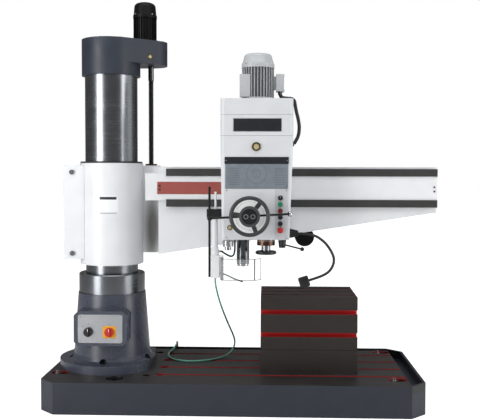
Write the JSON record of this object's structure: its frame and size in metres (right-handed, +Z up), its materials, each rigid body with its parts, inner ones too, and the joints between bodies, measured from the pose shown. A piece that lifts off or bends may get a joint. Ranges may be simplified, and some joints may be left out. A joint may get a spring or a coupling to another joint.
{
  "type": "radial arm drill",
  "caption": "Radial arm drill with a slotted base, swinging column, screw-lifted arm, traversing drill head with levers and handwheel, box table, lamp, guard and coolant hose.",
  "frame": {"origin": "the column's axis at floor level", "axes": "+X along the arm to the right, +Y to the rear, +Z up"},
  "size_m": [2.526, 1.1494, 2.653],
  "materials": {
    "paint_slate": "satin paint",
    "steel_bright": "ground",
    "steel_dark": "blackened",
    "paint_white": "semi-gloss paint",
    "sheet_white": "semi-gloss paint",
    "paint_black": "satin paint",
    "iron_table": "planed",
    "plate_silver": "brushed",
    "plate_grey": "printed",
    "motor_grey": "paint",
    "red_cover": "paint",
    "rubber_black": "matt",
    "brass": "polished",
    "bronze": "turned",
    "plastic_black": "matt",
    "plastic_red": "gloss",
    "plastic_green": "gloss",
    "plastic_white": "gloss",
    "plastic_grey": "matt",
    "clear": "clear",
    "hose_green": "matt",
    "line_dark": "matt"
  },
  "bodies": {
    "base": {"base_plate": "paint_slate", "levelling_screws": "steel_bright", "pedestal": "paint_slate", "pedestal_bolts": "steel_dark", "inner_column": "steel_bright", "column_bearings": "steel_bright", "switch_plate": "plate_silver", "box_table": "iron_table", "hose_fitting": "brass", "coolant_hose": "hose_green"},
    "isolator": {"isolator_knob": "plastic_red"},
    "selector": {"selector_knob": "plastic_black"},
    "column": {"outer_column": "steel_bright", "column_cap": "paint_slate", "cap_lid": "paint_slate", "lift_motor": "paint_black", "lift_motor_cowl": "paint_black"},
    "lift_screw": {"lift_screw": "steel_dark"},
    "arm": {"arm_casting": "paint_white", "upper_way": "steel_dark", "lower_way": "steel_dark", "cover_strip": "red_cover", "wiper_ring": "rubber_black", "lift_nut": "bronze", "clamp_bolts": "steel_dark", "arm_rear_cover": "sheet_white", "clamp_pump": "paint_black"},
    "head": {"head_casting": "paint_white", "gear_case": "paint_white", "head_cover": "paint_white", "chart_plate": "plate_grey", "control_panel": "plate_silver", "sight_glasses": "brass", "head_motor": "motor_grey", "head_motor_cowl": "motor_grey", "terminal_box": "motor_grey", "motor_conduit": "rubber_black", "guard_bracket": "plastic_black", "guard_post": "sheet_white", "coolant_line": "line_dark", "lamp_bracket": "plastic_black", "gooseneck": "rubber_black", "lamp_head": "plastic_black"},
    "guard": {"guard_hinge": "plastic_grey", "guard_shield": "clear"},
    "quill": {"quill": "steel_bright"},
    "spindle": {"spindle": "steel_bright"},
    "drive_gear": {"drive_gear": "steel_bright"},
    "motor_pinion": {"motor_pinion": "steel_bright"},
    "feed_levers": {"feed_levers": "steel_dark"},
    "traverse_wheel": {"traverse_wheel": "plastic_black"},
    "fine_feed": {"fine_feed_knob": "bronze"},
    "shift_lever": {"shift_lever": "plastic_black"},
    "quill_lock": {"quill_lock": "steel_bright"},
    "mode_switch": {"mode_switch": "plastic_black"},
    "start_button": {"start_button": "plastic_green"},
    "stop_button": {"stop_button": "plastic_red"},
    "up_button": {"up_button": "plastic_black"},
    "down_button": {"down_button": "plastic_black"},
    "emergency_stop": {"emergency_stop": "plastic_red"}
  },
  "joints": [
    {"name": "arm_swing", "type": "hinge", "parent": "base", "child": "column", "pos_m": [0, 0, 0.7], "axis": [0, 0, 1], "range_deg": [-180, 180], "deforming": ["coolant_hose"]},
    {"name": "arm_lift", "type": "slide", "parent": "column", "child": "arm", "axis": [0, 0, 1], "range_m": [-0.05, 0.53], "deforming": ["coolant_hose"]},
    {"name": "lift_screw_turn", "type": "hinge", "parent": "column", "child": "lift_screw", "pos_m": [0.256, 0.09, 1.9], "axis": [0, 0, 1], "range_deg": [-24000, 2300]},
    {"name": "head_traverse", "type": "slide", "parent": "arm", "child": "head", "axis": [1, 0, 0], "range_m": [-0.375, 0.875], "deforming": ["coolant_hose"]},
    {"name": "quill_feed", "type": "slide", "parent": "head", "child": "quill", "axis": [0, 0, -1], "range_m": [0, 0.315]},
    {"name": "spindle_spin", "type": "hinge", "parent": "quill", "child": "spindle", "pos_m": [0.901, -0.33, 1.2], "axis": [0, 0, 1], "continuous": true},
    {"name": "drive_gear_turn", "type": "hinge", "parent": "head", "child": "drive_gear", "pos_m": [0.901, -0.33, 1.78], "axis": [0, 0, 1], "continuous": true},
    {"name": "motor_pinion_turn", "type": "hinge", "parent": "head", "child": "motor_pinion", "pos_m": [0.993, -0.33, 1.78], "axis": [0, 0, 1], "continuous": true},
    {"name": "feed_levers_turn", "type": "hinge", "parent": "head", "child": "feed_levers", "pos_m": [0.948, -0.5, 1.238], "axis": [0, -1, 0], "range_deg": [0, 1510]},
    {"name": "traverse_wheel_turn", "type": "hinge", "parent": "head", "child": "traverse_wheel", "pos_m": [0.948, -0.585, 1.238], "axis": [0, 1, 0], "range_deg": [-1200, 2800]},
    {"name": "fine_feed_turn", "type": "hinge", "parent": "head", "child": "fine_feed", "pos_m": [1.047, -0.42, 1.05], "axis": [0, 0, 1], "continuous": true},
    {"name": "shift_lever_turn", "type": "hinge", "parent": "head", "child": "shift_lever", "pos_m": [1.148, -0.42, 1.06], "axis": [0, 0, 1], "range_deg": [-30, 30]},
    {"name": "quill_lock_turn", "type": "hinge", "parent": "head", "child": "quill_lock", "pos_m": [0.809, -0.4, 1.06], "axis": [0, 0, 1], "range_deg": [0, 90]},
    {"name": "guard_swing", "type": "hinge", "parent": "head", "child": "guard", "pos_m": [0.772, -0.424, 0.9], "axis": [0, 0, -1], "range_deg": [0, 95]},
    {"name": "mode_switch_turn", "type": "hinge", "parent": "head", "child": "mode_switch", "pos_m": [1.134, -0.51, 1.348], "axis": [0, -1, 0], "range_deg": [-45, 45]},
    {"name": "isolator_turn", "type": "hinge", "parent": "base", "child": "isolator", "pos_m": [0.045, -0.34, 0.478], "axis": [0, 1, 0], "range_deg": [0, 90]},
    {"name": "selector_turn", "type": "hinge", "parent": "base", "child": "selector", "pos_m": [-0.091, -0.34, 0.478], "axis": [0, 1, 0], "range_deg": [-45, 45]},
    {"name": "start_button_press", "type": "slide", "parent": "head", "child": "start_button", "axis": [0, 1, 0], "range_m": [0, 0.004], "stiffness_N_per_m": 700},
    {"name": "stop_button_press", "type": "slide", "parent": "head", "child": "stop_button", "axis": [0, 1, 0], "range_m": [0, 0.004], "stiffness_N_per_m": 700},
    {"name": "up_button_press", "type": "slide", "parent": "head", "child": "up_button", "axis": [0, 1, 0], "range_m": [0, 0.004], "stiffness_N_per_m": 700},
    {"name": "down_button_press", "type": "slide", "parent": "head", "child": "down_button", "axis": [0, 1, 0], "range_m": [0, 0.004], "stiffness_N_per_m": 700},
    {"name": "emergency_stop_press", "type": "slide", "parent": "head", "child": "emergency_stop", "axis": [0, 1, 0], "range_m": [0, 0.005], "stiffness_N_per_m": 1200}
  ],
  "couplings": [
    {"joint": "lift_screw_turn", "follows": "arm_lift", "rad_per_m": -785.4},
    {"joint": "drive_gear_turn", "follows": "spindle_spin", "ratio": 1},
    {"joint": "motor_pinion_turn", "follows": "spindle_spin", "ratio": -2.8333},
    {"joint": "feed_levers_turn", "follows": "quill_feed", "rad_per_m": 83.333},
    {"joint": "traverse_wheel_turn", "follows": "head_traverse", "rad_per_m": 55.556}
  ]
}
